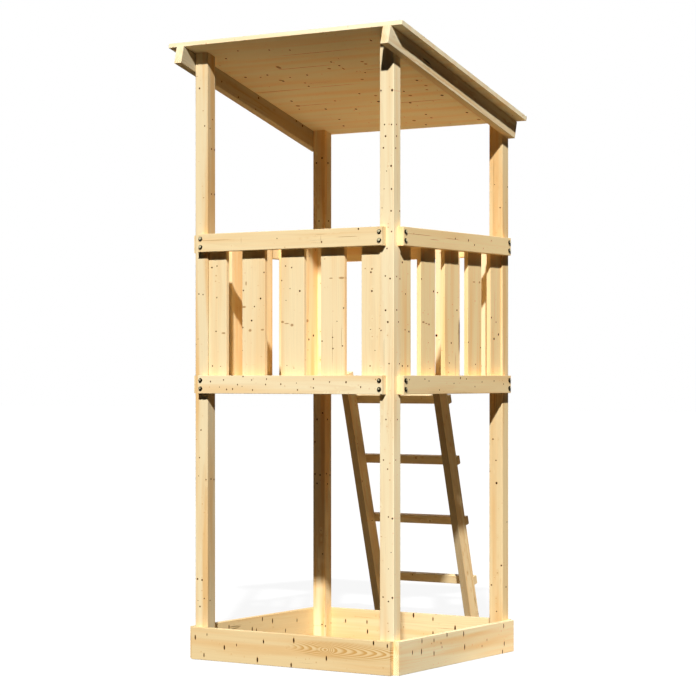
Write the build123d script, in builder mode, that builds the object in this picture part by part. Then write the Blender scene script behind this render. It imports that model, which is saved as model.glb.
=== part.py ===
"""A timber play tower: four posts carry a raised platform with slatted sides and a sloping roof.

X runs to the right along the front, Y from front to back and Z up. The origin is on the
ground, under the middle of all that the tower covers, from the roof's front edge to the
ladder's feet. All lengths are in millimetres, angles in degrees.
"""
from build123d import *
import os
from math import cos, radians, sin, tan

os.makedirs("parts", exist_ok=True)

# Posts
tower_width = 1016              # over the outer faces of the posts, left to right
tower_depth = 976               # over the outer faces of the posts, front to back
post_width = 67                 # post section along X
post_depth = 56                 # post section along Y
post_edge = 3                   # rounding of the long edges

# Boards round the sandpit
pit_board_height = 140
pit_board_thickness = 27
pit_board_edge = 2

# Rails, let into the outer faces of the posts, and rafters of the same timber
rail_height = 78
rail_thickness = 38
rail_edge = 2
rail_let_in = 8                 # depth of the housings in the posts
rail_stop_x = 36                # from a front or back rail's end to the post's corner
rail_stop_y = 32                # the same on the left and right sides
bottom_rail_z = 1155            # underside of the bottom rails
top_rail_z = 1768               # underside of the top rails

# Slats, screwed to the inner faces of the rails
slat_width = 118
end_slat_width = 94             # the narrower slats against the posts
slat_thickness = 20
slat_edge = 1.5
slat_margin = 10                # slat ends stop this far inside the rails' outer edges
full_slats = 3                  # full-width slats on a closed side

# Platform floor
floor_boards_across = 8
floor_board_thickness = 20
floor_gap = 3                   # between two boards
floor_fit = 1                   # between the boards and the slats, posts and rails
floor_edge = 1.5
joist_width = 38

# Ladder
ladder_lean = 15.6              # angle from upright
ladder_width = 537              # over the stringers
ladder_seat = 5                 # how far the front faces are cut back where they rest
stringer_thickness = 36
stringer_depth = 72
stringer_edge = 2
rung_height = 40
rung_thickness = 27
rung_edge = 3
rung_pitch = 296                # along the stringers
first_rung = 117                # from the stringer's upper back corner to the first rung
rungs = 4

# Roof
roof_slope = 15.3
roof_mid_z = 2504               # underside of the deck above the middle of the tower
roof_front_overhang = 77        # level distance from the front posts to the deck's lower edge
roof_back_overhang = 6          # the same from the back posts
roof_side_overhang = 50         # past the rafters
roof_thickness = 19
rafter_height = 78
rafter_end = 5                  # the rafters run on past both ends of the deck

# Faces and planes that several pieces share
slope = radians(roof_slope)
lean = radians(ladder_lean)
half_width = tower_width / 2
half_depth = tower_depth / 2
clear_width = tower_width - 2 * post_width
clear_depth = tower_depth - 2 * post_depth
rail_proud = rail_thickness - rail_let_in
bottom_rail_top = bottom_rail_z + rail_height
ladder_reach = rail_proud - ladder_seat + bottom_rail_top * tan(lean) + stringer_depth / cos(lean)
roof_length = (roof_front_overhang + tower_depth + roof_back_overhang) / cos(slope)
roof_reach = roof_front_overhang + rafter_end * cos(slope) + rafter_height * sin(slope)
tower_y = (roof_reach - ladder_reach) / 2
front_y = tower_y - half_depth
back_y = tower_y + half_depth
sides = {"left": (-half_width, -1), "right": (half_width, 1)}
ends = {"front": (front_y, -1), "back": (back_y, 1)}
roof_plane = Plane(
    origin=(0, tower_y, roof_mid_z), x_dir=(1, 0, 0), z_dir=(0, sin(slope), cos(slope))
)


def save(builder, name):
    """Name a finished piece and write its file."""
    builder.part.label = name
    export_step(builder.part, f"parts/{name}.step")


def middle(span):
    return (span[0] + span[1]) / 2


def length(span):
    return span[1] - span[0]


def outward(face, start, stop):
    """The span between two distances from a face, counted outwards from the tower."""
    place, direction = face
    return tuple(sorted((place + direction * start, place + direction * stop)))


def make_board(name, x, y, z, edge, grain):
    """A straight board between the given ends on each axis, its edges along the grain eased."""
    with BuildPart() as board:
        with BuildSketch(Plane.XY.offset(z[0])):
            with Locations((middle(x), middle(y))):
                Rectangle(length(x), length(y))
        extrude(amount=length(z))
        fillet(board.edges().filter_by(grain), edge)
    save(board, name)


def make_post(name, side, end):
    """A post, its top cut to the slope of the deck, with a housing for each rail end."""
    x = outward(side, -post_width, 0)
    y = outward(end, -post_depth, 0)
    housings = (
        (outward(side, -post_width, -rail_stop_x), outward(end, -rail_let_in, 0)),
        (outward(side, -rail_let_in, 0), outward(end, -post_depth, -rail_stop_y)),
    )
    with BuildPart() as post:
        with BuildSketch():
            with Locations((middle(x), middle(y))):
                RectangleRounded(post_width, post_depth, post_edge)
        extrude(amount=roof_mid_z + half_depth)
        split(bisect_by=roof_plane, keep=Keep.BOTTOM)
        for z in (bottom_rail_z, top_rail_z):
            with BuildSketch(Plane.XY.offset(z)):
                for across, along in housings:
                    with Locations((middle(across), middle(along))):
                        Rectangle(length(across), length(along))
            extrude(amount=rail_height, mode=Mode.SUBTRACT)
    save(post, name)


def slat_spans(centre, clear):
    """Start and end of each slat between two posts: narrow at the posts, full between them."""
    widths = [end_slat_width] + [slat_width] * full_slats + [end_slat_width]
    gap = (clear - sum(widths)) / (len(widths) - 1)
    spans = []
    start = centre - clear / 2
    for width in widths:
        spans.append((start, start + width))
        start += width + gap
    return spans


slats_across = slat_spans(0, clear_width)
slats_along = slat_spans(tower_y, clear_depth)
slats_by_way_in = slats_across[-2:]
way_in = (clear_width / -2, slats_by_way_in[0][0])


def make_pit_boards():
    """Four boards on edge, fixed to the outer faces of the posts round the sandpit."""
    z = (0, pit_board_height)
    for place, face in ends.items():
        across = outward(face, 0, pit_board_thickness)
        x = (-half_width, half_width)
        make_board(f"sandpit_board_{place}", x, across, z, pit_board_edge, Axis.X)
    for place, face in sides.items():
        across = outward(face, 0, pit_board_thickness)
        make_board(f"sandpit_board_{place}", across, (front_y, back_y), z, pit_board_edge, Axis.Y)


def make_rails():
    """Two rails on each side, their ends let into the posts."""
    x = (rail_stop_x - half_width, half_width - rail_stop_x)
    y = (front_y + rail_stop_y, back_y - rail_stop_y)
    for level, base in (("bottom", bottom_rail_z), ("top", top_rail_z)):
        z = (base, base + rail_height)
        for place, face in ends.items():
            across = outward(face, -rail_let_in, rail_proud)
            make_board(f"{level}_rail_{place}", x, across, z, rail_edge, Axis.X)
        for place, face in sides.items():
            across = outward(face, -rail_let_in, rail_proud)
            make_board(f"{level}_rail_{place}", across, y, z, rail_edge, Axis.Y)


def make_slats():
    """Upright slats behind the rails, on the back only beside the way in."""
    z = (bottom_rail_z + slat_margin, top_rail_z + rail_height - slat_margin)
    inset = (-rail_let_in - slat_thickness, -rail_let_in)
    for place, spans in (("front", slats_across), ("back", slats_by_way_in)):
        for number, span in enumerate(spans, 1):
            across = outward(ends[place], *inset)
            make_board(f"slat_{place}_{number}", span, across, z, slat_edge, Axis.Z)
    for place, face in sides.items():
        for number, span in enumerate(slats_along, 1):
            across = outward(face, *inset)
            make_board(f"slat_{place}_{number}", across, span, z, slat_edge, Axis.Z)


def make_floor():
    """Boards from front to back on joists, which pass between the slats of the two sides."""
    underside = bottom_rail_top - floor_board_thickness
    gaps = [(before[1], after[0]) for before, after in zip(slats_along, slats_along[1:])]
    with BuildPart() as joists:
        with BuildSketch(Plane.XY.offset(bottom_rail_z)):
            with Locations(*[(0, middle(gap)) for gap in gaps]):
                Rectangle(tower_width - 2 * rail_let_in, joist_width)
        extrude(amount=underside - bottom_rail_z)
        fillet(joists.edges().filter_by(Axis.X), floor_edge)
    save(joists, "floor_joists")

    inset = rail_let_in + slat_thickness + floor_fit
    reach = half_width - inset
    pitch = (2 * reach + floor_gap) / floor_boards_across
    with BuildPart() as boards:
        with BuildSketch(Plane.XY.offset(underside)):
            for number in range(floor_boards_across):
                left = number * pitch - reach
                x = (left, left + pitch - floor_gap)
                back_inset = rail_let_in + floor_fit if x[1] < way_in[1] else inset
                y = (front_y + inset, back_y - back_inset)
                with Locations((middle(x), middle(y))):
                    Rectangle(length(x), length(y))
            with Locations((0, tower_y)):
                with GridLocations(tower_width - post_width, tower_depth - post_depth, 2, 2):
                    Rectangle(
                        post_width + 2 * floor_fit, post_depth + 2 * floor_fit, mode=Mode.SUBTRACT
                    )
        extrude(amount=floor_board_thickness)
        fillet(boards.edges().filter_by(Axis.Y).group_by(Axis.Z)[-1], floor_edge)
    save(boards, "floor_boards")


def make_ladder():
    """Two leaning stringers that rest on the back rail, with rungs across their outer faces."""
    down = Vector(0, sin(lean), -cos(lean))
    out = Vector(0, cos(lean), sin(lean))
    rail_face = back_y + rail_proud
    corner = Vector(0, rail_face - ladder_seat, bottom_rail_top)
    back_corner = corner + out * stringer_depth
    foot = corner.Y + corner.Z * tan(lean)
    for place, direction in (("left", -1), ("right", 1)):
        outer = (middle(way_in) + direction * ladder_width / 2, direction)
        with BuildPart() as stringer:
            with BuildSketch(Plane.YZ.offset(outward(outer, -stringer_thickness, 0)[0])):
                with BuildLine():
                    Polyline(
                        (foot, 0),
                        (foot + stringer_depth / cos(lean), 0),
                        (back_corner.Y, back_corner.Z),
                        (rail_face, corner.Z + ladder_seat * tan(lean)),
                        (rail_face, corner.Z - ladder_seat / tan(lean)),
                        close=True,
                    )
                make_face()
            extrude(amount=stringer_thickness)
            fillet(stringer.edges().filter_by(Axis((0, 0, 0), down)), stringer_edge)
        save(stringer, f"ladder_stringer_{place}")
    for number in range(rungs):
        top = back_corner + down * (first_rung + number * rung_pitch)
        with BuildPart() as rung:
            with BuildSketch(Plane(origin=top, x_dir=(1, 0, 0), z_dir=out)):
                with Locations((middle(way_in), rung_height / 2)):
                    Rectangle(ladder_width, rung_height)
            extrude(amount=rung_thickness)
            fillet(rung.edges().filter_by(Axis.X), rung_edge)
        save(rung, f"ladder_rung_{number + 1}")


def make_roof():
    """Two rafters on the outer faces of the posts and a thin deck on top of them."""
    centre = (roof_back_overhang - roof_front_overhang) / 2 / cos(slope)
    for place, face in sides.items():
        across = outward(face, 0, rail_thickness)
        with BuildPart() as rafter:
            with BuildSketch(roof_plane):
                with Locations((middle(across), centre)):
                    Rectangle(rail_thickness, roof_length + 2 * rafter_end)
            extrude(amount=-rafter_height)
            fillet(rafter.edges().filter_by(Axis((0, 0, 0), roof_plane.y_dir)), rail_edge)
        save(rafter, f"rafter_{place}")
    with BuildPart() as deck:
        with BuildSketch(roof_plane):
            with Locations((0, centre)):
                Rectangle(tower_width + 2 * (rail_thickness + roof_side_overhang), roof_length)
        extrude(amount=roof_thickness)
    save(deck, "roof_deck")


for end_place, end_face in ends.items():
    for side_place, side_face in sides.items():
        make_post(f"post_{end_place}_{side_place}", side_face, end_face)
make_pit_boards()
make_rails()
make_slats()
make_floor()
make_ladder()
make_roof()
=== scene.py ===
"""Play tower of planed spruce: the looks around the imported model.

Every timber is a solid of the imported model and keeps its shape. This script gives each one its own
cut of knotty spruce and adds the bolts and screws that hold the timbers together, the floor, the
light and the camera. Lengths are metres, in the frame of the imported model.
"""
import math
import random

import bmesh
import bpy
from bpy.props import FloatProperty, FloatVectorProperty, PointerProperty
from mathutils import Matrix, Vector


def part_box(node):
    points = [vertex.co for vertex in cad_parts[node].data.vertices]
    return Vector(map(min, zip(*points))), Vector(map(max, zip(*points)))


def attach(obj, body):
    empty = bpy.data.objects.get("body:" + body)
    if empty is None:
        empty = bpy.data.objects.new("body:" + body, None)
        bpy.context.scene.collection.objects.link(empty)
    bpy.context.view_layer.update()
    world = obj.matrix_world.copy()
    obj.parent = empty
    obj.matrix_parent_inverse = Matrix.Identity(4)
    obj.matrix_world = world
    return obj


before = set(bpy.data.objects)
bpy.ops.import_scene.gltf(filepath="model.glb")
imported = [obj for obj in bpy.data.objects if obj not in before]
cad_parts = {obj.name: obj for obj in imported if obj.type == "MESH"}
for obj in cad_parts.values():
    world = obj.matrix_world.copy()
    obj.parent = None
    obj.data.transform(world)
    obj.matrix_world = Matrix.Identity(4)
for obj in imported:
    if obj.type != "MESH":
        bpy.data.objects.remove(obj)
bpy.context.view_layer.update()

bl_info = {
    "name": "Play tower",
    "version": (1, 0, 0),
    "blender": (4, 5, 0),
    "location": "3D View > Sidebar > Play tower",
    "description": "Spruce, bolts, screws and a pale studio for a timber play tower",
    "category": "Object",
}

MM = 0.001
LEAN = math.radians(15.6)       # the ladder, from upright
SLOPE = math.radians(15.3)      # the roof, from level
FLOOR_BOARDS = 8                # of the platform, side by side
FLOOR_GAP = 3 * MM              # between two of them
JOISTS = 4                      # under them
JOIST_WIDTH = 38 * MM

LATE_END = 0.92                 # the share of a year at which the late wood is at its darkest
NEAREST = 0.2                   # what counts as nearness at the very middle of a knot
BROWN = 0.007                   # the most of it for a live knot or a split, which stays brown
LOOKS_UP = 0.9                  # the least Z in the normal of a face that looks up
WHITE = (1, 1, 1, 1)

# The camera is level, and was fitted to the edges of the timbers in the photograph: its place, its
# turn about the vertical, its focal length, and how far the level line lies below the middle of the
# picture.
CAMERA_PLACE = (5.3121, -8.4022, 1.2300)
CAMERA_TURN = 0.5758
PICTURE_PIXELS = 696
FOCAL_PIXELS = 2217.3
LEVEL_PIXELS = 28.2
SENSOR = 36                     # millimetres, as Blender has it

# The knots that show in the photograph, read off it: how far each lies across and along its timber
# from the timber's middle, and its reach, in millimetres. A fourth number marks a live knot, brown
# where a dead one is nearly black, and says how many times wider than long it is. First those on the
# wide faces.
FACE_KNOTS = {
    "post_front_left": (
        (-11, 1164, 4), (17, 999, 3), (-14, 269, 3), (8, 266, 3), (-19, 73, 2), (-3, -323, 3),
        (-11, -443, 3), (-16, -523, 2), (24, -538, 3), (-22, -972, 4), (3, -975, 4), (15, -1055, 3),
        (-19, -1066, 2), (-8, -1091, 3.5)),
    "post_front_right": (
        (-27, 1089, 3.5), (27, 1087, 5), (-10, 948, 3), (24, 946, 3), (-5, 900, 4), (-15, 852, 3.5),
        (22, 776, 4), (0, 756, 2), (-12, 683, 2), (24, 681, 3.5), (-22, 605, 2), (22, 591, 3.5),
        (24, 506, 3), (2, 437, 3), (-6, 324, 3), (17, 313, 3.5), (-5, 183, 4), (6, 134, 4),
        (-27, 100, 3), (12, -37, 3), (-3, -267, 3), (-15, -434, 3), (5, -471, 3), (9, -668, 3),
        (28, -674, 4), (22, -814, 2), (9, -882, 2), (-17, -999, 3), (28, -1000, 4), (9, -1016, 3)),
    "post_back_left": (
        (17, 1061, 4), (-14, 1039, 4), (0, 766, 3), (20, -136, 4), (-11, -166, 4), (-23, -272, 3),
        (-23, -423, 3.5), (6, -427, 3.5), (-11, -467, 3.5), (20, -797, 3), (17, -1128, 3.5)),
    "post_back_right": (
        (-6, 893, 2), (22, 789, 3), (-14, -244, 3.5), (1, -339, 3), (4, -440, 5), (28, -807, 4),
        (-22, -896, 3.5), (4, -1013, 3)),
    "slat_front_1": (
        (-3, 207, 3), (-30, 201, 3.5), (-4, 70, 3), (-8, -76, 3), (32, -84, 3, 3), (-27, -226, 3),
        (16, -228, 2)),
    "slat_front_2": (
        (55, 173, 3), (-39, 128, 8, 0.4), (-53, 98, 3), (37, 62, 4), (5, 28, 3), (-50, 27, 4, 2.2),
        (-10, -32, 4), (-56, -61, 3), (47, -72, 3, 2.5), (-18, -74, 5, 1.3), (-58, -160, 2)),
    "slat_front_3": (
        (-36, 197, 3), (-5, 190, 3), (-56, 136, 3), (-13, 101, 2), (37, 90, 4), (-34, 51, 2),
        (-52, -40, 4, 1.7), (-3, -54, 5, 1.3), (-30, -47, 2, 5), (-29, -225, 2), (7, -236, 2)),
    "slat_front_4": (
        (-8, 140, 2, 4), (45, 140, 4, 3), (55, 14, 3), (22, -41, 2), (0, -108, 3), (-53, -123, 3),
        (50, -144, 3), (2, -155, 3)),
    "slat_front_5": (
        (4, 173, 3), (-1, 160, 4), (4, 82, 4), (-3, -77, 2), (19, -164, 2), (-5, -228, 3)),
    "slat_right_1": (
        (21, 201, 4), (-5, 71, 3), (-1, -78, 3), (-32, -85, 4), (21, -228, 4), (-23, -228, 3.5)),
    "slat_right_2": (
        (53, 138, 3), (-45, 89, 4), (38, -43, 3.5, 2.5), (-8, -52, 3.5, 2), (14, -48, 2, 4),
        (-16, -238, 2)),
    "slat_right_3": ((-44, 14, 4), (5, -128, 4), (20, -213, 3)),
    "slat_right_4": (
        (7, 141, 2, 5), (-42, 141, 4, 1.5), (55, -123, 3), (-51, -145, 3), (-7, -219, 3)),
    "slat_right_5": ((37, -11, 4), (-4, -30, 3), (-26, -85, 5), (14, -105, 5.5)),
    "slat_left_5": ((-8, -80, 5), (30, -99, 4.5), (42, -12, 6, 1.3)),
    "slat_back_1": ((-53, -85, 5.5), (-47, 110, 3)),
    "bottom_rail_front": (
        (-13, -404, 2.8), (11, -356, 1.7), (-20, -334, 2.5), (21, -318, 2.8), (19, -286, 2.8),
        (0, -260, 2.5), (8, -236, 1.7), (-35, -231, 2.8), (-20, -186, 2.5), (23, -181, 2.5),
        (-1, -113, 2.5), (-24, -108, 2.5), (-3, -34, 2.8), (-7, 46, 1.7), (22, 51, 2.8),
        (-24, 132, 2.8), (13, 132, 2.5), (-12, 213, 2.5), (-11, 295, 3.3), (9, 367, 2.8)),
    "bottom_rail_right": (
        (22, -411, 2.5), (24, -287, 2.5), (16, -254, 2.5), (-22, -168, 2.5), (5, -46, 2.5),
        (28, 9, 3.3), (24, 60, 2.5), (-9, 134, 2.5), (11, 196, 2.5), (15, 303, 2.5), (1, 389, 2.5)),
    "top_rail_front": ((-6, -54, 2), (16, 173, 3), (-32, 356, 3)),
    "top_rail_right": ((11, -34, 3), (9, 78, 3.5), (-8, 130, 3)),
    "sandpit_board_front": (
        (-26, -488, 3.5), (48, -441, 3), (-42, -425, 2), (8, -332, 3.5), (-7, -267, 2),
        (49, -158, 4), (-31, -126, 3), (60, 17, 3.5), (-46, 30, 4), (18, 195, 3.5), (-61, 428, 3.5),
        (-53, 495, 3)),
    "sandpit_board_right": (
        (15, -382, 3), (12, -310, 4), (55, -306, 3.5), (-7, -208, 3.5), (48, -208, 3),
        (31, -150, 2), (14, -142, 2), (62, -100, 3.5), (51, 41, 4), (-6, 50, 4), (-17, 201, 2),
        (5, 245, 2), (-62, 385, 3.5), (52, 396, 3.5), (-27, 401, 3.5)),
    "sandpit_board_left": (
        (43, -239, 3.5), (15, -61, 4), (7, -28, 3.5), (55, 19, 3.5), (39, 99, 4), (-15, 204, 3),
        (23, 298, 3)),
    "sandpit_board_back": (
        (-12, -362, 3), (-14, -243, 3), (30, -240, 3.5), (-61, 11, 4), (-49, 115, 3), (15, 115, 3),
        (15, 189, 3), (-15, 232, 4)),
    "rafter_left": (
        (-8, -255, 4), (-29, -119, 4), (25, 29, 4.5), (-33, 21, 3), (33, 342, 4), (29, 396, 4.5)),
    "roof_deck": (
        (-451, -292, 4), (-385, -402, 5), (-429, -142, 4), (-409, -48, 4), (-246, -216, 9, 1.6),
        (-175, -443, 6), (-178, -322, 5), (-161, -370, 4), (-100, -289, 6), (-110, -296, 8, 0.8),
        (-133, -230, 4), (-141, -134, 5), (-252, 63, 5), (-186, 11, 8, 0.8), (-208, 77, 5),
        (-174, 76, 4, 2.5), (-228, 206, 7, 0.8), (-200, 207, 7, 0.8), (-113, 151, 4),
        (-424, 371, 5), (-60, -198, 6, 0.8), (-21, -204, 5), (125, -393, 6), (184, -397, 10, 0.8),
        (222, -414, 4), (245, -283, 6), (272, -136, 6), (162, -180, 6, 0.8), (105, -14, 5),
        (375, -291, 5), (208, 24, 7), (455, -318, 5), (-45, 93, 7, 0.8), (14, 338, 6),
        (118, 210, 5), (170, 213, 8, 0.8), (249, 166, 6), (195, 361, 7), (122, 326, 6, 0.8),
        (77, 347, 7, 0.8), (393, 164, 5), (436, 168, 6, 0.8), (454, 66, 8, 0.8), (406, 370, 6),
        (494, 382, 8, 0.8), (140, 50, 7, 0.8), (512, 95, 5)),
}

# The same on the narrow faces.
EDGE_KNOTS = {
    "post_front_left": (
        (7, 1029, 3), (-11, 988, 3), (0, 900, 4), (22, 898, 4), (0, 704, 3.5), (22, 704, 3.5),
        (-4, -536, 3.5), (18, -539, 3.5), (-11, -1064, 3)),
    "post_front_right": (
        (-4, 948, 3), (-4, 900, 3.5), (-10, 850, 3.5), (21, 593, 3), (-3, 322, 3), (23, 313, 3),
        (-2, 184, 3.5), (11, 135, 3.5), (19, -37, 3), (3, -267, 3), (-10, -434, 3)),
    "post_back_left": (
        (-2, 1039, 4), (2, 767, 3.5), (-6, -166, 4), (-15, -420, 3.5), (15, -428, 3.5),
        (-6, -469, 3.5), (24, -1125, 3), (-23, -1135, 4)),
    "post_back_right": ((20, 884, 3), (15, -615, 3), (6, -905, 3.5)),
}

# Drying splits, and resin streaks in the deck: across, along, half the width drawn, half the length.
SPLITS = {
    "top_rail_front": (
        (-10, -380, 0.8, 75), (-2, 302, 0.9, 48), (2, 169, 14, 0.6), (-4, -241, 12, 0.5)),
    "top_rail_right": ((12, -330, 1.1, 92), (-3, -209, 0.9, 32), (8, -63, 0.9, 54)),
    "sandpit_board_back": ((-10, 190, 0.8, 60),),
    "post_back_right": ((-10, 944, 1.2, 67), (-10, 760, 0.7, 100)),
    "slat_front_4": ((44, -108, 0.8, 40), (-1, -144, 0.8, 72)),
    "slat_right_5": ((7, 35, 0.9, 68),),
    "roof_deck": (
        (-360, 50, 1.5, 180), (-223, -100, 1.8, 135), (3, -390, 1.8, 125), (-4, -76, 1.5, 115),
        (185, -316, 1.5, 90), (240, 223, 2, 110)),
}


def linear(code):
    """An sRGB hex colour as linear red, green and blue."""
    parts = [int(code[i:i + 2], 16) / 255 for i in (1, 3, 5)]
    return tuple(p / 12.92 if p <= 0.04045 else ((p + 0.055) / 1.055) ** 2.4 for p in parts)


class SpruceLook(bpy.types.PropertyGroup):
    """Colours and grain of the timber."""

    early_wood: FloatVectorProperty(
        name="Early wood", description="Pale wood between the rings, freshly planed",
        default=linear("#F8DBA4"), size=3, subtype="COLOR", min=0, max=1)
    cream_wood: FloatVectorProperty(
        name="Cream wood", description="The palest timbers",
        default=linear("#FDF1CE"), size=3, subtype="COLOR", min=0, max=1)
    late_wood: FloatVectorProperty(
        name="Late wood", description="Darker line that ends each year's ring",
        default=linear("#DDAA62"), size=3, subtype="COLOR", min=0, max=1)
    warm_wood: FloatVectorProperty(
        name="Warm wood", description="Broad reddish bands of heartwood",
        default=linear("#F3C88A"), size=3, subtype="COLOR", min=0, max=1)
    knot: FloatVectorProperty(
        name="Knot", description="Small dead knots",
        default=linear("#2A1200"), size=3, subtype="COLOR", min=0, max=1)
    knot_halo: FloatVectorProperty(
        name="Knot halo", description="Resin-stained wood round a knot",
        default=linear("#D89A52"), size=3, subtype="COLOR", min=0, max=1)
    check: FloatVectorProperty(
        name="Check", description="Fine drying cracks along the grain",
        default=linear("#8A6A3C"), size=3, subtype="COLOR", min=0, max=1)
    ring_width: FloatProperty(
        name="Ring width", description="Growth in one year, drawn twice as wide as real to show",
        default=7 * MM, unit="LENGTH", min=1 * MM, max=20 * MM)
    knot_spacing: FloatProperty(
        name="Knot spacing", description="Mean distance between knots",
        default=38 * MM, unit="LENGTH", min=20 * MM, max=200 * MM)
    fibre_width: FloatProperty(
        name="Fibre width", description="Fine streaks of the planed face, drawn coarse to show",
        default=3 * MM, unit="LENGTH", min=0.2 * MM, max=10 * MM)


class FixingSizes(bpy.types.PropertyGroup):
    """Sizes of the bolts and screws."""

    head: FloatProperty(
        name="Head diameter", description="Across the domed head of a coach bolt",
        default=19.5 * MM, unit="LENGTH", min=5 * MM, max=40 * MM)
    rise: FloatProperty(
        name="Head height", description="How far the dome stands out of the rail",
        default=7 * MM, unit="LENGTH", min=1 * MM, max=20 * MM)
    pitch: FloatProperty(
        name="Bolt pitch", description="Between the two bolts of a rail end",
        default=36 * MM, unit="LENGTH", min=10 * MM, max=70 * MM)
    end_distance: FloatProperty(
        name="End distance", description="From the bolts to the rail's end",
        default=14.5 * MM, unit="LENGTH", min=5 * MM, max=50 * MM)
    screw: FloatProperty(
        name="Screw head", description="Across the countersunk head of a screw",
        default=8.5 * MM, unit="LENGTH", min=4 * MM, max=15 * MM)


class StageLook(bpy.types.PropertyGroup):
    """Light and floor."""

    sun: FloatProperty(name="Key light", description="Strength of the key light", default=4.7, min=0)
    sun_angle: FloatProperty(
        name="Key size", description="Angle over which the key light spreads",
        default=math.radians(2), subtype="ANGLE", min=0)
    back: FloatProperty(
        name="Back light", description="Strength of the light from behind", default=1.5, min=0)
    sky: FloatProperty(
        name="Sky", description="Strength of the light from all round", default=0.016, min=0)
    floor: FloatVectorProperty(
        name="Floor behind", description="Colour of the light that the floor behind throws back",
        default=linear("#F3D0A2"), size=3, subtype="COLOR", min=0, max=1)
    floor_front: FloatVectorProperty(
        name="Floor in front", description="The same in front of the tower",
        default=linear("#1E1A14"), size=3, subtype="COLOR", min=0, max=1)
    floor_under: FloatVectorProperty(
        name="Floor under", description="The same under the platform",
        default=linear("#B1A38C"), size=3, subtype="COLOR", min=0, max=1)
    under_depth: FloatProperty(
        name="Floor under depth",
        description="How far behind the tower's middle that floor has its middle",
        default=0.35, unit="LENGTH")
    under_reach: FloatProperty(
        name="Floor under reach", description="How far that floor reaches from its own middle",
        default=0.95, unit="LENGTH", min=0.1)
    pool_depth: FloatProperty(
        name="Pool depth",
        description="How far behind the tower's middle the bright floor has its middle",
        default=2.9, unit="LENGTH")
    pool_side: FloatProperty(
        name="Pool side", description="How far to the right of the tower's middle it is",
        default=-0.8, unit="LENGTH")
    pool_reach: FloatProperty(
        name="Pool reach", description="How far the bright floor reaches from its own middle",
        default=3.4, unit="LENGTH", min=0.1)


def add_node(tree, kind, inputs=(), **settings):
    """Add a node with its settings, its inputs given as numbers, colours or other nodes' outputs."""
    node = tree.nodes.new(kind)
    for key, value in settings.items():
        setattr(node, key, value)
    for socket, value in dict(inputs).items():
        if isinstance(value, bpy.types.NodeSocket):
            tree.links.new(value, node.inputs[socket])
        else:
            node.inputs[socket].default_value = value
    return node


def number(tree, operation, *values):
    """A number worked out from others."""
    return add_node(tree, "ShaderNodeMath", dict(enumerate(values)), operation=operation).outputs[0]


def vector(tree, operation, *values):
    """A vector worked out from others, or the number that a length or a product gives."""
    node = add_node(tree, "ShaderNodeVectorMath", dict(enumerate(values)), operation=operation)
    return node.outputs["Value" if operation in ("LENGTH", "DISTANCE", "DOT_PRODUCT") else "Vector"]


def remap(tree, value, start=(0.0, 1.0), to=(0.0, 1.0), ease="LINEAR"):
    """Carry a number from one range over to another and hold it between the ends."""
    return add_node(tree, "ShaderNodeMapRange", {
        "Value": value, "From Min": start[0], "From Max": start[1],
        "To Min": to[0], "To Max": to[1]}, interpolation_type=ease).outputs[0]


def mix(tree, share, first, second):
    """A colour on the way from the first to the second."""
    return add_node(tree, "ShaderNodeMix", {0: share, 6: first, 7: second},
                    data_type="RGBA").outputs[2]


def noise(tree, place, cells, detail, roughness=0.5):
    """A random pattern between 0 and 1, with so many cells to the metre along X, Y and Z."""
    return add_node(tree, "ShaderNodeTexNoise", {
        "Vector": vector(tree, "MULTIPLY", place, cells), "Scale": 1.0, "Detail": detail,
        "Roughness": roughness}).outputs["Fac"]


def facing(tree, coords, axis):
    """How squarely the surface faces along an axis, one way or the other."""
    cosine = vector(tree, "DOT_PRODUCT", coords.outputs["Normal"], tuple(axis))
    return number(tree, "ABSOLUTE", cosine)


def blank_material(name):
    """A new material, with its node tree still empty."""
    material = bpy.data.materials.new(name)
    material.use_nodes = True
    material.node_tree.nodes.clear()
    return material, material.node_tree


def rgba(colour):
    """A colour with nothing let through."""
    return (*colour, 1.0)


def cut_of(node, tilt=0.0, grain=None):
    """Turn and shift that put a timber's width on X, thickness on Y and grain on Z, from its middle.
    The third result is its size along these three."""
    low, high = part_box(node)
    middle = (low + high) / 2
    turn = Matrix.Rotation(tilt, 3, "X")
    corners = [turn @ Vector(v.co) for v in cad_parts[node].data.vertices]
    size = [max(c[i] for c in corners) - min(c[i] for c in corners) for i in range(3)]
    order = sorted(range(3), key=lambda i: size[i])
    if grain is not None:
        order.remove(grain)
        order.append(grain)
    thick, wide, along = order
    rows = [Matrix.Identity(3)[i] for i in (wide, thick, along)]
    axes = Matrix(rows)
    if axes.determinant() < 0:
        axes = Matrix((rows[0] * -1, rows[1], rows[2]))
    axes = axes @ turn
    return axes, -(axes @ middle), [size[i] for i in (wide, thick, along)]


def side_by_side(tree, here, pitch, start):
    """Let each of the boards side by side come from a tree of its own, with a tone of its own."""
    across = add_node(tree, "ShaderNodeSeparateXYZ", {0: here}).outputs["X"]
    board = number(tree, "SUBTRACT", across, start)
    board = number(tree, "DIVIDE", board, pitch)
    board = number(tree, "FLOOR", board)
    chance = add_node(tree, "ShaderNodeTexWhiteNoise", {"W": board}, noise_dimensions="1D")
    apart = vector(tree, "MULTIPLY", chance.outputs["Color"], (0.05, 0.05, 9))
    return vector(tree, "ADD", here, apart), chance.outputs["Value"]


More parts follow.
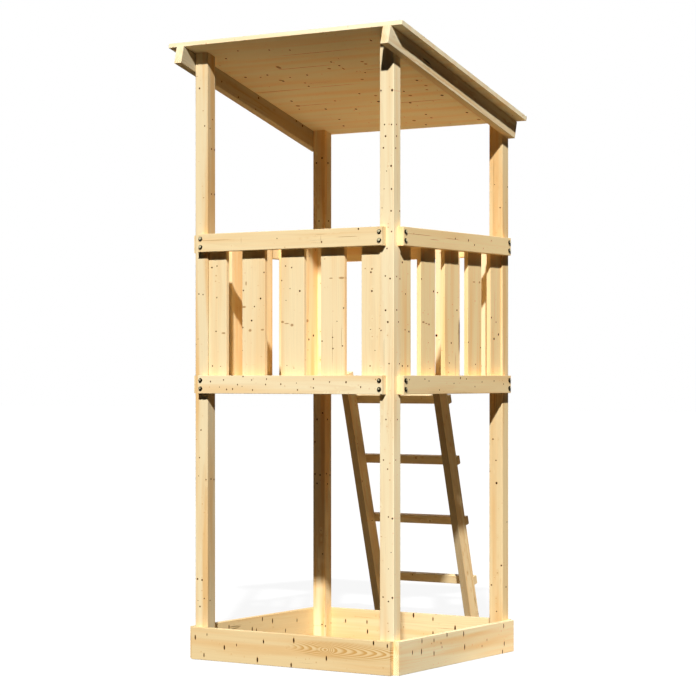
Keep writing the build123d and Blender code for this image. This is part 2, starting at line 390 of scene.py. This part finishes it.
def add_branches(tree, node, place, oval, nearness):
    """Add the knots and splits that were read from the photograph, straight through the timber."""
    # Each is its middle, one over its half sizes, and whether it stays brown.
    branches = [(Vector((across, 0, along)), Vector((1 / (live[0] if live else oval), 0, 1)) / reach,
                 bool(live)) for across, along, reach, *live in FACE_KNOTS.get(node, ())]
    branches += [(Vector((0, across, along)), Vector((0, 1, 1)) / reach, False)
                 for across, along, reach in EDGE_KNOTS.get(node, ())]
    branches += [(Vector((across, 0, along)), Vector((1 / wide, 0, 1 / long)), True)
                 for across, along, wide, long in SPLITS.get(node, ())]
    for centre, scale, brown in branches:
        away = add_node(tree, "ShaderNodeMapping", {
            "Vector": place, "Location": -(centre * scale), "Scale": scale / MM}).outputs[0]
        away = vector(tree, "LENGTH", away)
        near = number(tree, "MULTIPLY_ADD", away, -NEAREST, NEAREST)
        if brown:
            near = number(tree, "MINIMUM", near, BROWN)
        nearness = number(tree, "MAXIMUM", nearness, near)
    return nearness


def growth_rings(tree, trunk, wander, ring_width, past_knot):
    """Rings round the pith, which lies beside the timber. They flow past a knot as long ovals."""
    bulge = 3 * MM          # of the rings at a knot
    unevenness = 30 * MM
    taper = 0.01            # of the trunk, along the grain
    swell = remap(tree, past_knot, (0.0, 0.3), (bulge, 0.0), "SMOOTHERSTEP")
    flat = vector(tree, "MULTIPLY", trunk, (1, 1, taper))
    radius = vector(tree, "LENGTH", flat)
    radius = number(tree, "MULTIPLY_ADD", wander, unevenness, radius)
    radius = number(tree, "ADD", radius, swell)
    years = number(tree, "DIVIDE", radius, ring_width)
    season = number(tree, "FRACT", years)
    late = remap(tree, season, (0.35, LATE_END), ease="SMOOTHSTEP")
    fade = remap(tree, season, (LATE_END, 1.0), (1.0, 0.0))
    return number(tree, "MULTIPLY", late, fade)


def drying_checks(tree, wood, checks):
    """Hairlines where a stretched pattern crosses its middle, only where a second one is high."""
    least = 0.74 - 0.08 * checks
    crack = noise(tree, wood, (30, 30, 0.7), 1.0)
    crack = number(tree, "SUBTRACT", crack, 0.5)
    crack = number(tree, "ABSOLUTE", crack)
    crack = remap(tree, crack, (0.002, 0.007), (1.0, 0.0))
    patch = noise(tree, wood, (14, 14, 5), 0.0)
    patch = remap(tree, patch, (least, least + 0.05), (0.0, 0.8))
    return number(tree, "MULTIPLY", crack, patch)


def spruce(node, seed, tilt=0.0, grain=None, tone=0.0, edge_tone=0.0, end_tone=0.0, cream=0.3,
           warmth=0.3, rings=0.3, knots=1.0, oval=1.0, checks=0.5, strips=None, figure=None):
    """Planed, untreated spruce: pale cream wood, ring lines that follow the cut, small dark knots.

    The tones make all faces, the narrow faces or the ends darker or paler; on several timbers
    that is painted light and shade. cream, warmth, rings, knots and checks say how strongly each
    shows, and oval how much wider than long the knots are.
    tilt turns a leaning timber upright or level, grain is the axis of its grain where that isn't its
    longest, strips the width and start of boards side by side, and figure the place of the arches.
    """
    look = bpy.context.scene.spruce_look
    draw = random.Random(seed)
    axes, shift, size = cut_of(node, tilt, grain)
    pith_aside = draw.uniform(-0.35, 0.35) * size[0]
    pith_behind = draw.choice((-1, 1)) * draw.uniform(50, 110) * MM
    pith = Vector((pith_aside, pith_behind, 0))
    log = Vector((0, 0, draw.uniform(-40, 40)))

    material, tree = blank_material("planed_spruce_" + node)
    coords = add_node(tree, "ShaderNodeTexCoord")
    place = add_node(tree, "ShaderNodeMapping", {
        "Vector": coords.outputs["Object"], "Location": shift,
        "Rotation": axes.to_euler()}).outputs["Vector"]
    here = place
    if strips:
        here, board_tone = side_by_side(tree, here, *strips)
    trunk = vector(tree, "ADD", here, pith)
    wood = vector(tree, "ADD", trunk, log)

    # Knots: one chance a cell of a random pattern, most of them too small to show. The cells are
    # flattened along the grain, because the branches run across it.
    largest = 0.17 * knots      # of a cell
    spacing = look.knot_spacing
    cells = vector(tree, "MULTIPLY", wood, (1 / spacing, 1 / spacing, 1.5 / spacing))
    cell = add_node(tree, "ShaderNodeTexVoronoi", {
        "Vector": cells, "Scale": 1.0, "Randomness": 1.0}, feature="F1").outputs
    chance = add_node(tree, "ShaderNodeSeparateColor", {0: cell["Color"]})
    reach = remap(tree, chance.outputs["Red"], (0.3, 1.0), (0.0, largest))
    nearness = number(tree, "SUBTRACT", reach, cell["Distance"])
    nearness = add_branches(tree, node, place, oval, nearness)
    core = remap(tree, nearness, (-0.01, 0.03), ease="SMOOTHSTEP")
    halo = remap(tree, nearness, (-0.12, 0.02), ease="SMOOTHSTEP")

    past_knot = vector(tree, "SUBTRACT", cells, cell["Position"])
    past_knot = vector(tree, "MULTIPLY", past_knot, (1, 1, 0.3))
    past_knot = vector(tree, "LENGTH", past_knot)
    past_knot = number(tree, "SUBTRACT", past_knot, reach)
    wander = noise(tree, wood, (8, 8, 1.1), 3.0)
    ring = growth_rings(tree, trunk, wander, look.ring_width, past_knot)
    # They are clear in some stretches and faint in others.
    clear = noise(tree, wood, (11, 11, 1.7), 1.0)
    clear = remap(tree, clear, (0.35, 0.65), (0.15, 1.6), "SMOOTHSTEP")
    ring = number(tree, "MULTIPLY", ring, clear)
    if figure:
        ring = cathedral(tree, place, ring, wander, figure)

    # Fine fibres and broad bands of tone, both drawn out along the grain.
    fibre = noise(tree, wood, (1 / look.fibre_width, 1 / look.fibre_width, 4), 2.0, 0.6)
    band = noise(tree, wood, (22, 22, 1.2), 2.0, 0.45)
    crack = drying_checks(tree, wood, checks)

    # End grain, where the surface faces along the grain, shows the rings more.
    end_rings = min(1.0, rings + 0.25)
    end = remap(tree, facing(tree, coords, axes[2]), (0.6, 0.8))
    ring_share = remap(tree, end, to=(rings, end_rings))
    ring = number(tree, "MULTIPLY", ring, ring_share)

    # Colour, from the pale wood up to the knots, with resin-stained wood round them.
    pale = Vector(look.early_wood).lerp(look.cream_wood, cream)
    warm = remap(tree, band, (0.40, 0.70), (0.0, warmth * 2), "SMOOTHSTEP")
    colour = mix(tree, warm, rgba(pale), rgba(look.warm_wood))
    colour = mix(tree, ring, colour, rgba(look.late_wood))
    level = remap(tree, fibre, (0.3, 0.7), (0.965, 1.02))
    if strips:
        own = remap(tree, board_tone, to=(0.93, 1.04))
        level = number(tree, "MULTIPLY", level, own)
    # The tones by the way a face looks: on several timbers this is painted light and shade.
    own = remap(tree, facing(tree, coords, axes[0]), to=(1.0 + tone, 1.0 + tone + edge_tone))
    own = remap(tree, end, to=(own, 1.0 + tone + end_tone))
    level = number(tree, "MULTIPLY", level, own)
    colour = add_node(tree, "ShaderNodeVectorMath", {0: colour, "Scale": level},
                      operation="SCALE").outputs[0]
    stain = number(tree, "MULTIPLY", halo, 0.55)
    colour = mix(tree, stain, colour, rgba(look.knot_halo))
    colour = mix(tree, crack, colour, rgba(look.check))
    colour = mix(tree, core, colour, rgba(look.knot))

    # The planed face is matt, with fibres and ring lines that can just be felt.
    relief = number(tree, "MULTIPLY_ADD", ring, 0.5, fibre)
    relief = number(tree, "MULTIPLY_ADD", crack, -2.0, relief)
    bump = add_node(tree, "ShaderNodeBump", {
        "Strength": 0.25, "Distance": 0.4 * MM, "Height": relief})
    surface = add_node(tree, "ShaderNodeBsdfPrincipled", {
        "Base Color": colour, "Roughness": remap(tree, core, to=(0.72, 0.55)), "IOR": 1.45,
        "Specular IOR Level": 0.04, "Normal": bump.outputs[0]})
    add_node(tree, "ShaderNodeOutputMaterial", {0: surface.outputs[0]})

    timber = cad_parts[node]
    timber.data.materials.clear()
    timber.data.materials.append(material)


def cathedral(tree, here, ring, wander, figure):
    """The arches where a flat-cut board passes through the tops of its rings, over part of its face.
    They close to a swirl over a branch that ends just under the face."""
    across, along, half_across, half_along, swirl_along = (value * MM for value in figure)
    depth = 30 * MM         # from the board's face down to the pith's own plane
    taper = 0.09            # how fast the rings lean out of the board
    width = 3.6 * MM        # of one ring
    unevenness = 22 * MM
    swirl_reach = 34 * MM
    swirl_lift = 10 * MM
    strength = 12.0         # of the arches' late wood, where the plain rings have about 1
    spot = add_node(tree, "ShaderNodeMapping", {
        "Vector": here, "Location": (-across, 0, -along)}).outputs[0]
    axes = add_node(tree, "ShaderNodeSeparateXYZ", {0: spot}).outputs
    bow = number(tree, "MULTIPLY_ADD", axes["X"], axes["X"], depth * depth)
    bow = number(tree, "SQRT", bow)
    bow = number(tree, "MULTIPLY_ADD", axes["Z"], taper, bow)
    bow = number(tree, "MULTIPLY_ADD", wander, unevenness, bow)
    swirl = vector(tree, "SUBTRACT", spot, (0, 0, swirl_along - along))
    swirl = vector(tree, "MULTIPLY", swirl, (1, 0, 0.7))
    swirl = vector(tree, "LENGTH", swirl)
    swirl = remap(tree, swirl, (0.0, swirl_reach), (-swirl_lift, 0.0), "SMOOTHSTEP")
    bow = number(tree, "ADD", bow, swirl)
    bow = number(tree, "DIVIDE", bow, width)
    bow = number(tree, "FRACT", bow)
    arch = remap(tree, bow, (0.3, 0.9), (0.0, strength), "SMOOTHSTEP")
    fall = vector(tree, "MULTIPLY", spot, (1 / half_across, 0, 1 / half_along))
    fall = vector(tree, "LENGTH", fall)
    share = remap(tree, fall, (0.6, 1.0), (1.0, 0.0), "SMOOTHSTEP")
    return add_node(tree, "ShaderNodeMix", {0: share, 2: ring, 3: arch},
                    data_type="FLOAT").outputs[0]


def paint_shade(piece, amount):
    """Note at each corner of a mesh how much painted shade it gets, for the steel to read."""
    painted_shade = piece.data.attributes.new("painted_shade", "FLOAT", "POINT")
    for vertex in piece.data.vertices:
        painted_shade.data[vertex.index].value = amount(vertex.co)


def zinc(name):
    """Passivated zinc on steel, yellowish and bright, darkened by painted shade where it meets the
    wood, which leaves the crown as a painted highlight.
    """
    material, tree = blank_material(name)
    coords = add_node(tree, "ShaderNodeTexCoord")
    mottle = add_node(tree, "ShaderNodeTexNoise", {
        "Vector": coords.outputs["Object"], "Scale": 900.0, "Detail": 3.0}).outputs["Fac"]
    colour = mix(tree, mottle, rgba(linear("#A89F78")), rgba(linear("#E0D9B6")))
    painted_shade = add_node(tree, "ShaderNodeAttribute", attribute_name="painted_shade").outputs["Fac"]
    # The attribute is painted shade: it darkens the rim of a bolt and the recess of a screw.
    painted_shade = remap(tree, painted_shade, (0.35, 0.8), ease="SMOOTHSTEP")
    colour = mix(tree, painted_shade, colour, rgba(linear("#1F180D")))
    surface = add_node(tree, "ShaderNodeBsdfPrincipled", {
        "Base Color": colour, "Metallic": 1.0, "Roughness": remap(tree, mottle, to=(0.28, 0.4))})
    add_node(tree, "ShaderNodeOutputMaterial", {0: surface.outputs[0]})
    return material


class TOWER_OT_posts(bpy.types.Operator):
    """Give the four posts their spruce."""
    bl_idname = "play_tower.posts"
    bl_label = "Posts"

    def execute(self, context):
        plain = {"knots": 0.4}
        # The edge tones paint the side faces: darker on the left front post, a painted shade, and
        # lighter on the two right posts, a painted light.
        spruce("post_front_left", 1, tone=-0.04, cream=0.4, warmth=0.55, rings=0.12,
               edge_tone=-0.28, **plain)
        spruce("post_front_right", 2, cream=0.5, warmth=0.25, rings=0.12, edge_tone=0.2, **plain)
        spruce("post_back_left", 3, tone=0.03, cream=0.5, warmth=0.8, rings=0.35, **plain)
        spruce("post_back_right", 4, tone=-0.12, cream=0.1, warmth=0.7, rings=0.12, edge_tone=0.17,
               **plain)
        return {"FINISHED"}


class TOWER_OT_pit_boards(bpy.types.Operator):
    """Give the boards round the sandpit their spruce."""
    bl_idname = "play_tower.pit_boards"
    bl_label = "Sandpit boards"

    def execute(self, context):
        plain = {"warmth": 0.4, "rings": 0.1, "knots": 0.4, "oval": 3.0, "checks": 0.0}
        spruce("sandpit_board_front", 11, tone=-0.07, cream=0.0, figure=(-18, 290, 46, 320, 193),
               **plain)
        spruce("sandpit_board_back", 12, tone=-0.05, cream=0.2, **plain)
        spruce("sandpit_board_left", 13, tone=-0.12, cream=0.0, **plain)
        spruce("sandpit_board_right", 14, tone=0.19, cream=0.4, **plain)
        return {"FINISHED"}


class TOWER_OT_rails(bpy.types.Operator):
    """Give the rails their spruce."""
    bl_idname = "play_tower.rails"
    bl_label = "Rails"

    def execute(self, context):
        plain = {"rings": 0.1, "knots": 0.4, "oval": 1.4, "checks": 0.7}
        # The higher tone of the right rails is painted light on the faces that look right.
        for seed, (node, cream, warmth, tone) in enumerate((
                ("bottom_rail_front", 0.5, 0.3, 0.0), ("bottom_rail_back", 0.3, 0.3, 0.0),
                ("bottom_rail_left", 0.3, 0.3, 0.0), ("bottom_rail_right", 0.1, 0.3, 0.1),
                ("top_rail_front", 0.2, 0.3, 0.0), ("top_rail_back", 0.0, 0.9, 0.1),
                ("top_rail_left", 0.2, 0.3, 0.0), ("top_rail_right", 0.0, 0.3, 0.2)), 21):
            spruce(node, seed, cream=cream, warmth=warmth, tone=tone, **plain)
        return {"FINISHED"}


class TOWER_OT_slats(bpy.types.Operator):
    """Give the slats their spruce."""
    bl_idname = "play_tower.slats"
    bl_label = "Slats"

    def execute(self, context):
        names = sorted(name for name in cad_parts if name.startswith("slat_"))
        # The tones of the left and right slats are painted light: on the left slats' shaded inner
        # faces and on the faces of the right slats, whose narrow faces are painted back darker.
        cuts = {"front": (0.3, 0.25, 0.0, 0.0), "back": (0.6, 0.2, 0.0, 0.0),
                "left": (0.2, 0.5, 0.08, 0.0), "right": (0.0, 0.55, 0.2, -0.12)}
        for seed, node in enumerate(names, 41):
            cream, warmth, tone, edge_tone = cuts[node.split("_")[1]]
            spruce(node, seed, cream=cream, warmth=warmth, tone=tone, edge_tone=edge_tone,
                   rings=0.08, knots=0.4, checks=0.2)
        return {"FINISHED"}


def floor_pitch(low, high):
    """From one board of the platform to the next, out of the corners of the box round them all."""
    return (high.x - low.x + FLOOR_GAP) / FLOOR_BOARDS


class TOWER_OT_floor(bpy.types.Operator):
    """Give the platform's boards and joists their spruce."""
    bl_idname = "play_tower.floor"
    bl_label = "Platform floor"

    def execute(self, context):
        low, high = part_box("floor_boards")
        strips = (floor_pitch(low, high), (low.x - high.x) / 2)
        spruce("floor_boards", 71, grain=1, rings=0.4, strips=strips)
        spruce("floor_joists", 72, grain=0, rings=0.4)
        return {"FINISHED"}


class TOWER_OT_ladder(bpy.types.Operator):
    """Give the ladder its spruce."""
    bl_idname = "play_tower.ladder"
    bl_label = "Ladder"

    def execute(self, context):
        plain = {"tilt": -LEAN, "knots": 0.6}
        # The stringers' narrow front and back faces are painted darker, a painted shade, and the left
        # stringer's sides are painted lighter, a painted light.
        spruce("ladder_stringer_left", 81, tone=0.1, edge_tone=-0.55, **plain)
        spruce("ladder_stringer_right", 82, tone=-0.02, edge_tone=-0.45, **plain)
        for seed, rung in enumerate(range(1, 5), 83):
            spruce(f"ladder_rung_{rung}", seed, tone=-0.1, **plain)
        return {"FINISHED"}


class TOWER_OT_roof(bpy.types.Operator):
    """Give the rafters and the deck their spruce."""
    bl_idname = "play_tower.roof"
    bl_label = "Roof"

    def execute(self, context):
        plain = {"tilt": SLOPE, "cream": 0.7, "knots": 0.3, "checks": 0.2}
        # The left rafter's sides are painted darker, a painted shade on its inner face, and its
        # narrow faces and ends are painted back lighter.
        spruce("rafter_left", 91, tone=-0.45, edge_tone=0.3, end_tone=0.5, **plain)
        spruce("rafter_right", 92, **plain)
        # The deck is painted lighter, a painted light on its underside, and its narrow faces are
        # painted back darker.
        spruce("roof_deck", 93, tilt=SLOPE, grain=0, tone=0.12, edge_tone=-0.12, cream=0.8,
               warmth=0.2, rings=0.06, knots=0.4, checks=0.0)
        return {"FINISHED"}


def set_out(piece, material):
    """Finish a new piece: its place goes into its mesh, and it gets its material and body."""
    bpy.ops.object.select_all(action="DESELECT")
    piece.select_set(True)
    bpy.context.view_layer.objects.active = piece
    bpy.ops.object.transform_apply(location=True, rotation=True, scale=True)
    piece.data.materials.clear()
    piece.data.materials.append(material)
    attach(piece, "root")


def select_faces(piece, test):
    """In edit mode, select the faces that pass the test of their centre and normal."""
    mesh = bmesh.from_edit_mesh(piece.data)
    for part in (*mesh.verts, *mesh.edges, *mesh.faces):
        part.select = False
    for face in mesh.faces:
        if test(face.calc_center_median(), face.normal):
            face.select_set(True)
    mesh.select_flush_mode()
    bmesh.update_edit_mesh(piece.data)


def spread(pattern, places, name, material):
    """Copy a fixing to each place, given as its foot and the way its head looks, as one piece."""
    copies = []
    for foot, way in places:
        copy = pattern.copy()
        copy.data = pattern.data.copy()
        bpy.context.collection.objects.link(copy)
        turn = way.to_track_quat("Z", "Y").to_matrix().to_4x4()
        copy.matrix_world = Matrix.Translation(foot) @ turn
        copies.append(copy)
    bpy.ops.object.select_all(action="DESELECT")
    for copy in copies:
        copy.select_set(True)
    bpy.context.view_layer.objects.active = copies[0]
    if len(copies) > 1:
        bpy.ops.object.join()
    piece = bpy.context.object
    piece.name = name
    set_out(piece, material)


class TOWER_OT_bolts(bpy.types.Operator):
    """Put two domed coach bolts through each end of each rail."""
    bl_idname = "play_tower.bolts"
    bl_label = "Bolts"

    def execute(self, context):
        sizes = context.scene.fixing_sizes
        steel = zinc("zinc_plated_steel")
        # The lower rails' bolts get more painted shade, darker over more of the head.
        for level, painted_shade in (("bottom", 0.22), ("top", 0.0)):
            pattern = self.coach_bolt(sizes, painted_shade)
            for side, way in (("front", (0, -1, 0)), ("back", (0, 1, 0)), ("left", (-1, 0, 0)),
                              ("right", (1, 0, 0))):
                low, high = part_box(f"{level}_rail_{side}")
                middle = (low + high) / 2
                out = Vector(way)
                along = Vector((0, 0, 1)).cross(out)
                reach = abs((high - low).dot(along)) / 2 - sizes.end_distance
                face = middle + out * abs((high - low).dot(out)) / 2
                places = [(face + along * reach * end + Vector((0, 0, rise * sizes.pitch)), out)
                          for end in (-1, 1) for rise in (-0.5, 0.5)]
                spread(pattern, places, f"bolts_{level}_{side}", steel)
            bpy.data.objects.remove(pattern)
        return {"FINISHED"}

    def coach_bolt(self, sizes, painted_shade):
        """A washer-thin rim with a dome on it, on the rail's face and let a little into it."""
        radius = sizes.head / 2
        rim = 1.6 * MM
        let_in = 0.4 * MM
        bpy.ops.object.select_all(action="DESELECT")
        bpy.ops.mesh.primitive_cylinder_add(
            vertices=28, radius=radius, depth=rim + let_in, location=(0, 0, (rim - let_in) / 2))
        bolt = bpy.context.object
        bpy.ops.object.transform_apply(location=True, rotation=True, scale=True)
        bpy.ops.object.mode_set(mode="EDIT")
        rise = sizes.rise - rim
        turned = 0
        width = radius
        for angle in (12, 26, 42, 58, 74):
            select_faces(bolt, lambda centre, normal: normal.z > LOOKS_UP and centre.xy.length < MM)
            next_width = radius * math.cos(math.radians(angle))
            lift = rise * (math.sin(math.radians(angle)) - math.sin(math.radians(turned)))
            bpy.ops.mesh.extrude_region_move(TRANSFORM_OT_translate={"value": (0, 0, lift)})
            bpy.ops.transform.resize(value=(next_width / width,) * 2 + (1,))
            turned, width = angle, next_width
        bpy.ops.object.mode_set(mode="OBJECT")
        bpy.ops.object.shade_smooth_by_angle(angle=math.radians(40))
        # The painted shade is least a little above the middle of the crown, where the painted
        # highlight sits.
        painted_highlight_middle = Vector((0, radius * 0.2))
        paint_shade(bolt, lambda place: (place.xy - painted_highlight_middle).length / radius + painted_shade)
        return bolt


class TOWER_OT_screws(bpy.types.Operator):
    """Put countersunk screws where slats, rungs, floor boards and deck are fixed."""
    bl_idname = "play_tower.screws"
    bl_label = "Screws"

    def execute(self, context):
        steel = zinc("zinc_plated_screw_steel")
        pattern = self.screw(context.scene.fixing_sizes.screw)
        for side, way in (("front", (0, 1, 0)), ("back", (0, -1, 0)), ("left", (1, 0, 0)),
                          ("right", (-1, 0, 0))):
            spread(pattern, self.in_slats(side, Vector(way)), f"screws_slats_{side}", steel)
        spread(pattern, self.in_rungs(), "screws_ladder", steel)
        spread(pattern, self.in_floor(), "screws_floor", steel)
        spread(pattern, self.in_deck(), "screws_roof", steel)
        bpy.data.objects.remove(pattern)
        return {"FINISHED"}

    def screw(self, head):
        """A flat head, just proud of the wood, with a round recess for the driver."""
        thickness = 1 * MM
        proud = 0.3 * MM
        recess = 0.7 * MM
        rim = head * 0.27
        bpy.ops.object.select_all(action="DESELECT")
        bpy.ops.mesh.primitive_cylinder_add(
            vertices=12, radius=head / 2, depth=thickness, location=(0, 0, proud - thickness / 2))
        screw = bpy.context.object
        bpy.ops.object.transform_apply(location=True, rotation=True, scale=True)
        bpy.ops.object.mode_set(mode="EDIT")
        select_faces(screw, lambda centre, normal: normal.z > LOOKS_UP)
        bpy.ops.mesh.inset(thickness=rim)
        bpy.ops.transform.translate(value=(0, 0, -recess))
        bpy.ops.object.mode_set(mode="OBJECT")
        # Painted shade fills the recess, and a little of it lies on the rim.
        paint_shade(screw, lambda place: 1.0 if place.z < 0 else 0.5)
        return screw

    def in_slats(self, side, way):
        """Two through each slat's inner face into each rail."""
        aside = 0.27            # of the slat's width, from its middle
        stagger = 60 * MM       # in height, if they were the slat's width apart
        along = Vector((0, 0, 1)).cross(way)
        rails = [sum(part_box(f"{level}_rail_{side}"), Vector()).z / 2 for level in ("bottom", "top")]
        places = []
        for node in sorted(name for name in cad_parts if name.startswith(f"slat_{side}_")):
            low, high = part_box(node)
            middle = (low + high) / 2
            face = middle + way * abs((high - low).dot(way)) / 2
            for height in rails:
                for share in (-aside, aside):
                    foot = face + along * (high - low).dot(along) * share
                    places.append((Vector((foot.x, foot.y, height + share * stagger)), way))
        return places

    def in_rungs(self):
        """Two through each end of each rung into the stringer, one above the other but aslant."""
        out = Vector((0, math.cos(LEAN), math.sin(LEAN)))
        up = Vector((0, -math.sin(LEAN), math.cos(LEAN)))
        step = up * 9 * MM + Vector((7 * MM, 0, 0))     # from the rung's middle to a screw
        places = []
        for node in sorted(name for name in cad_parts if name.startswith("ladder_rung_")):
            low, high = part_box(node)
            middle = (low + high) / 2
            thickness = cut_of(node, -LEAN)[2][1]
            for stringer in ("left", "right"):
                line = sum(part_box(f"ladder_stringer_{stringer}"), Vector()).x / 2
                foot = Vector((line, middle.y, middle.z)) + out * thickness / 2
                places += [(foot - step, out), (foot + step, out)]
        return places

    def in_floor(self):
        """Two through each floor board into each joist, on either side of the board's middle."""
        aside = 22 * MM         # from the board's middle
        low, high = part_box("floor_boards")
        first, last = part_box("floor_joists")
        pitch = floor_pitch(low, high)
        step = (last.y - first.y - JOIST_WIDTH) / (JOISTS - 1)
        up = Vector((0, 0, 1))
        return [(Vector((low.x + pitch * (board + 0.5) - FLOOR_GAP / 2 + aside * end,
                         first.y + JOIST_WIDTH / 2 + step * joist, high.z)), up)
                for board in range(FLOOR_BOARDS) for joist in range(JOISTS) for end in (-1, 1)]

    def in_deck(self):
        """A row through the deck into each rafter."""
        count = 7               # in a row
        out = Vector((0, math.sin(SLOPE), math.cos(SLOPE)))
        down = Vector((0, math.cos(SLOPE), -math.sin(SLOPE)))
        low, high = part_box("roof_deck")
        length, thickness, _ = cut_of("roof_deck", SLOPE, 0)[2]
        top = (low + high) / 2 + out * thickness / 2
        places = []
        for rafter in ("left", "right"):
            line = sum(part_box(f"rafter_{rafter}"), Vector()).x / 2
            for screw in range(count):
                step = length * ((screw + 0.5) / count - 0.5)
                places.append((Vector((line, top.y, top.z)) + down * step, out))
        return places


class TOWER_OT_stage(bpy.types.Operator):
    """Set the camera, the light and the floor."""
    bl_idname = "play_tower.stage"
    bl_label = "Stage"

    def execute(self, context):
        scene = context.scene
        look = scene.stage_look
        scene.view_settings.view_transform = "Standard"

        bpy.ops.object.camera_add(
            location=CAMERA_PLACE, rotation=(math.radians(90), 0, CAMERA_TURN))
        camera = context.object
        camera.data.sensor_width = SENSOR
        camera.data.lens = FOCAL_PIXELS * SENSOR / PICTURE_PIXELS
        camera.data.shift_y = LEVEL_PIXELS / PICTURE_PIXELS
        scene.camera = camera

        for name, strength, angle, way in (
                ("key_light", look.sun, look.sun_angle, (-0.61, 1.0, -0.94)),
                ("back_light", look.back, math.radians(30), (0.6, -1.0, -0.6))):
            bpy.ops.object.light_add(type="SUN", location=(0, 0, 5))
            lamp = context.object
            lamp.name = name
            lamp.rotation_euler = Vector(way).to_track_quat("-Z", "Y").to_euler()
            lamp.data.energy = strength
            lamp.data.angle = angle

        world = bpy.data.worlds.new("pale_studio")
        world.use_nodes = True
        scene.world = world
        tree = world.node_tree
        tree.nodes.clear()
        seen = self.seen_directly(tree)
        dim = add_node(tree, "ShaderNodeBackground", {"Color": WHITE, "Strength": look.sky})
        white = add_node(tree, "ShaderNodeBackground", {"Color": WHITE, "Strength": 1.0})
        both = add_node(tree, "ShaderNodeMixShader", {
            0: seen, 1: dim.outputs[0], 2: white.outputs[0]})
        add_node(tree, "ShaderNodeOutputWorld", {0: both.outputs[0]})

        bpy.ops.mesh.primitive_plane_add(size=120)
        floor = context.object
        floor.name = "studio_floor"
        floor.data.materials.append(self.pale_floor(look))
        return {"FINISHED"}

    def seen_directly(self, tree):
        """1 for rays from the camera and those that gloss or glass sends on: they see white."""
        path = add_node(tree, "ShaderNodeLightPath").outputs
        either = number(tree, "MAXIMUM", path["Is Camera Ray"], path["Is Glossy Ray"])
        return number(tree, "MAXIMUM", either, path["Is Transmission Ray"])

    def pale_floor(self, look):
        """A matt paper floor, white to the camera apart from the shadow. What it throws back is warm
        behind the tower, grey under the platform and nearly nothing in front."""
        full = 0.55             # of a patch's reach, within which it has its full strength
        material, tree = blank_material("matt_paper_floor")
        glow = add_node(tree, "ShaderNodeEmission", {"Color": WHITE, "Strength": 0.9})
        paper = add_node(tree, "ShaderNodeBsdfDiffuse", {"Color": (0.13, 0.13, 0.13, 1)})
        bright = add_node(tree, "ShaderNodeAddShader", {0: glow.outputs[0], 1: paper.outputs[0]})
        coords = add_node(tree, "ShaderNodeTexCoord")
        thrown = rgba(look.floor_front)
        for middle, reach, colour in (
                ((look.pool_side, look.pool_depth, 0), look.pool_reach, look.floor),
                ((0, look.under_depth, 0), look.under_reach, look.floor_under)):
            away = vector(tree, "DISTANCE", coords.outputs["Object"], middle)
            patch = remap(tree, away, (reach, reach * full), ease="SMOOTHSTEP")
            thrown = mix(tree, patch, thrown, rgba(colour))
        tinted = add_node(tree, "ShaderNodeBsdfDiffuse", {"Color": thrown})
        both = add_node(tree, "ShaderNodeMixShader", {
            0: self.seen_directly(tree), 1: tinted.outputs[0], 2: bright.outputs[0]})
        add_node(tree, "ShaderNodeOutputMaterial", {0: both.outputs[0]})
        return material


class TOWER_PT_panel(bpy.types.Panel):
    """The steps that dress the tower, in order."""
    bl_idname = "TOWER_PT_panel"
    bl_label = "Play tower"
    bl_space_type = "VIEW_3D"
    bl_region_type = "UI"
    bl_category = "Play tower"

    def draw(self, context):
        for step in STEPS:
            self.layout.operator(step.bl_idname)


LOOKS = (SpruceLook, FixingSizes, StageLook)
STEPS = (TOWER_OT_posts, TOWER_OT_pit_boards, TOWER_OT_rails, TOWER_OT_slats, TOWER_OT_floor,
         TOWER_OT_ladder, TOWER_OT_roof, TOWER_OT_bolts, TOWER_OT_screws, TOWER_OT_stage)


def register():
    for item in (*LOOKS, *STEPS, TOWER_PT_panel):
        bpy.utils.register_class(item)
    bpy.types.Scene.spruce_look = PointerProperty(type=SpruceLook)
    bpy.types.Scene.fixing_sizes = PointerProperty(type=FixingSizes)
    bpy.types.Scene.stage_look = PointerProperty(type=StageLook)


def unregister():
    del bpy.types.Scene.stage_look
    del bpy.types.Scene.fixing_sizes
    del bpy.types.Scene.spruce_look
    for item in reversed((*LOOKS, *STEPS, TOWER_PT_panel)):
        bpy.utils.unregister_class(item)


def main():
    register()
    bpy.ops.object.select_all(action="DESELECT")
    bpy.ops.play_tower.posts()
    bpy.ops.play_tower.pit_boards()
    bpy.ops.play_tower.rails()
    bpy.ops.play_tower.slats()
    bpy.ops.play_tower.floor()
    bpy.ops.play_tower.ladder()
    bpy.ops.play_tower.roof()
    bpy.ops.play_tower.bolts()
    bpy.ops.play_tower.screws()
    bpy.ops.play_tower.stage()


if __name__ == "__main__":
    main()
